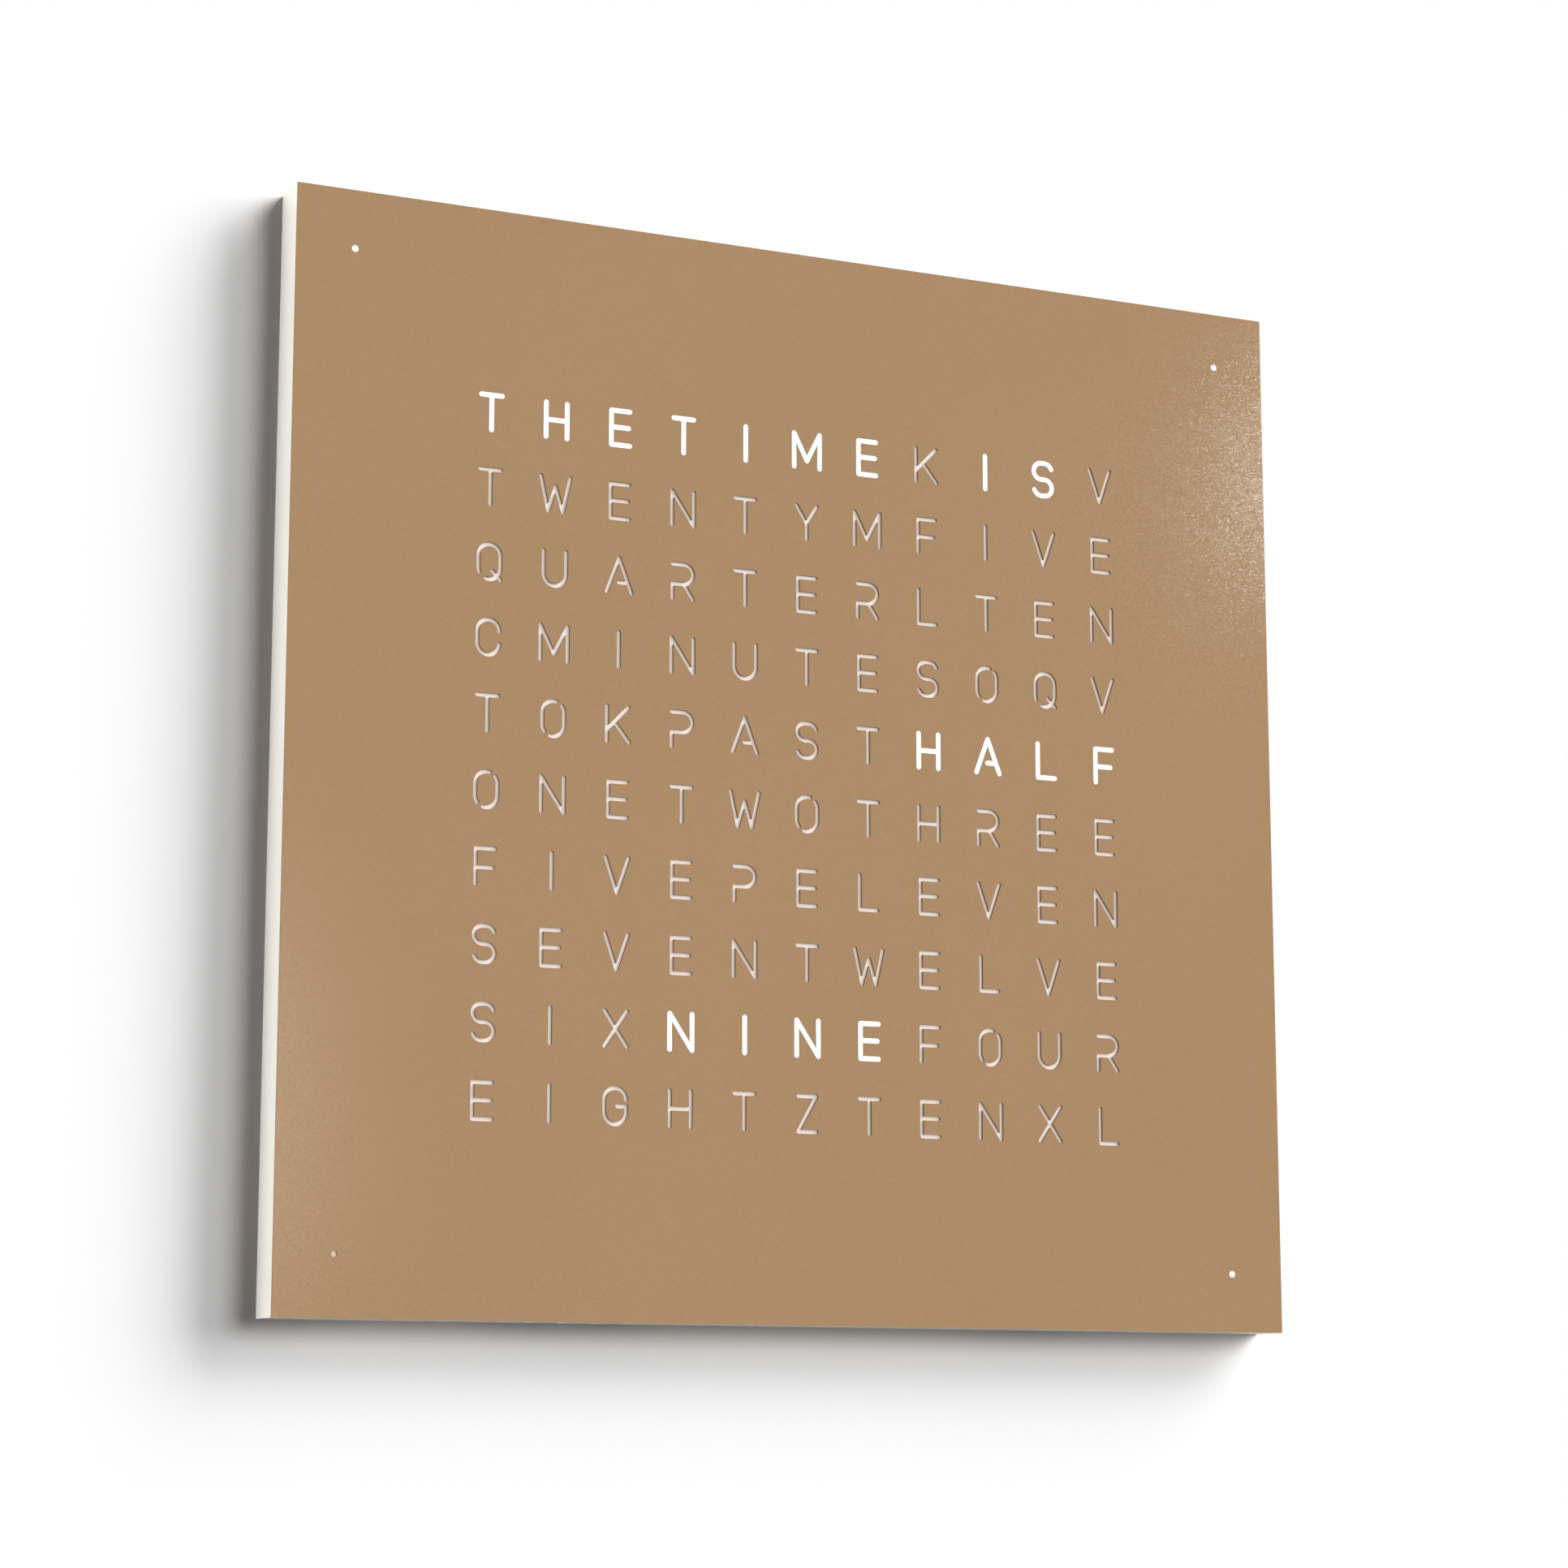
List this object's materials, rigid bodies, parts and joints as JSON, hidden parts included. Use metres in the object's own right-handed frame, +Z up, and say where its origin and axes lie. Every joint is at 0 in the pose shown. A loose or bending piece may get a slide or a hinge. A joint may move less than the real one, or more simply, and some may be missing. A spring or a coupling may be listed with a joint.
{
  "type": "word clock",
  "caption": "Square wall clock that tells the time in lit words: a stencil-cut metal cover held by magnets on a white frame, with lamps, circuit boards and setting buttons.",
  "frame": {"origin": "centre of the back, on the wall's plane", "axes": "+Z up, +Y into the wall, so the lettered front looks towards -Y; +X is to the right as one faces the clock"},
  "size_m": [0.45, 0.02, 0.45],
  "materials": {
    "powder_coated_steel": "fine-textured bronze powder coat",
    "lacquered_fibreboard": "warm white satin lacquer",
    "coated_aluminium": "matte charcoal coat",
    "zinc_plated_steel": "bright zinc plate",
    "stainless_steel": "brushed",
    "nickel_plated_magnet": "nickel plate",
    "brass": "turned, nickel-free",
    "opal_acrylic": "satin opal",
    "white_abs": "moulded matte",
    "pale_abs": "moulded satin",
    "black_abs": "moulded, fine spark texture",
    "black_epoxy": "moulded component",
    "green_laminate": "solder resist",
    "white_laminate": "white solder resist",
    "cream_nylon": "moulded",
    "polyester_film": "flat cable",
    "red_pvc": "wire sleeve",
    "clear_acrylic": "clear",
    "lamp_phosphor": "lit white lamp",
    "steel_can": "drawn can",
    "aluminium_can": "sleeved can"
  },
  "bodies": {
    "housing": {"body_frame": "lacquered_fibreboard", "back_panel": "coated_aluminium", "back_panel_screws": "zinc_plated_steel", "hanger_plates": "zinc_plated_steel", "hanger_rivets": "zinc_plated_steel", "cable_tray": "black_abs", "cable_tray_screws": "zinc_plated_steel", "power_inlet": "black_abs", "power_inlet_pin": "stainless_steel", "power_leads": "red_pvc", "control_board": "green_laminate", "control_spacers": "brass", "control_screws": "zinc_plated_steel", "microcontroller": "black_epoxy", "clock_chip": "black_epoxy", "clock_crystal": "steel_can", "coin_cell_holder": "black_abs", "coin_cell": "steel_can", "voltage_regulator": "black_epoxy", "power_inductor": "black_epoxy", "filter_capacitors": "aluminium_can", "lamp_ribbon_sockets": "cream_nylon", "lamp_ribbon": "polyester_film", "button_ribbon_sockets": "cream_nylon", "button_ribbon": "polyester_film", "button_board": "green_laminate", "button_board_screws": "zinc_plated_steel", "switch_housings": "black_abs", "light_sensor": "black_epoxy", "sensor_window": "clear_acrylic", "lamp_board": "white_laminate", "lamp_board_spacers": "brass", "lamp_board_screws": "zinc_plated_steel", "lamp_driver_chips": "black_epoxy", "letter_lamps": "lamp_phosphor", "light_grid": "white_abs", "corner_boards": "white_laminate", "corner_spacers": "brass", "corner_screws": "zinc_plated_steel", "corner_lamps": "lamp_phosphor", "corner_light_cells": "white_abs", "corner_leads": "polyester_film", "diffuser_sheet": "opal_acrylic", "magnets": "nickel_plated_magnet"},
    "cover": {"front_cover": "powder_coated_steel", "cover_locating_pins": "stainless_steel"},
    "hour_key": {"hour_button": "pale_abs", "hour_plunger": "cream_nylon"},
    "minute_key": {"minute_button": "pale_abs", "minute_plunger": "cream_nylon"},
    "mode_key": {"mode_button": "pale_abs", "mode_plunger": "cream_nylon"}
  },
  "joints": [
    {"name": "cover_pull", "type": "slide", "parent": "housing", "child": "cover", "axis": [0, -1, 0], "range_m": [0, 0.03]},
    {"name": "hour_press", "type": "slide", "parent": "housing", "child": "hour_key", "axis": [0, 0, 1], "range_m": [0, 0.0005], "stiffness_N_per_m": 3000, "springref_m": -0.0005},
    {"name": "minute_press", "type": "slide", "parent": "housing", "child": "minute_key", "axis": [0, 0, 1], "range_m": [0, 0.0005], "stiffness_N_per_m": 3000, "springref_m": -0.0005},
    {"name": "mode_press", "type": "slide", "parent": "housing", "child": "mode_key", "axis": [0, 0, 1], "range_m": [0, 0.0005], "stiffness_N_per_m": 3000, "springref_m": -0.0005}
  ]
}
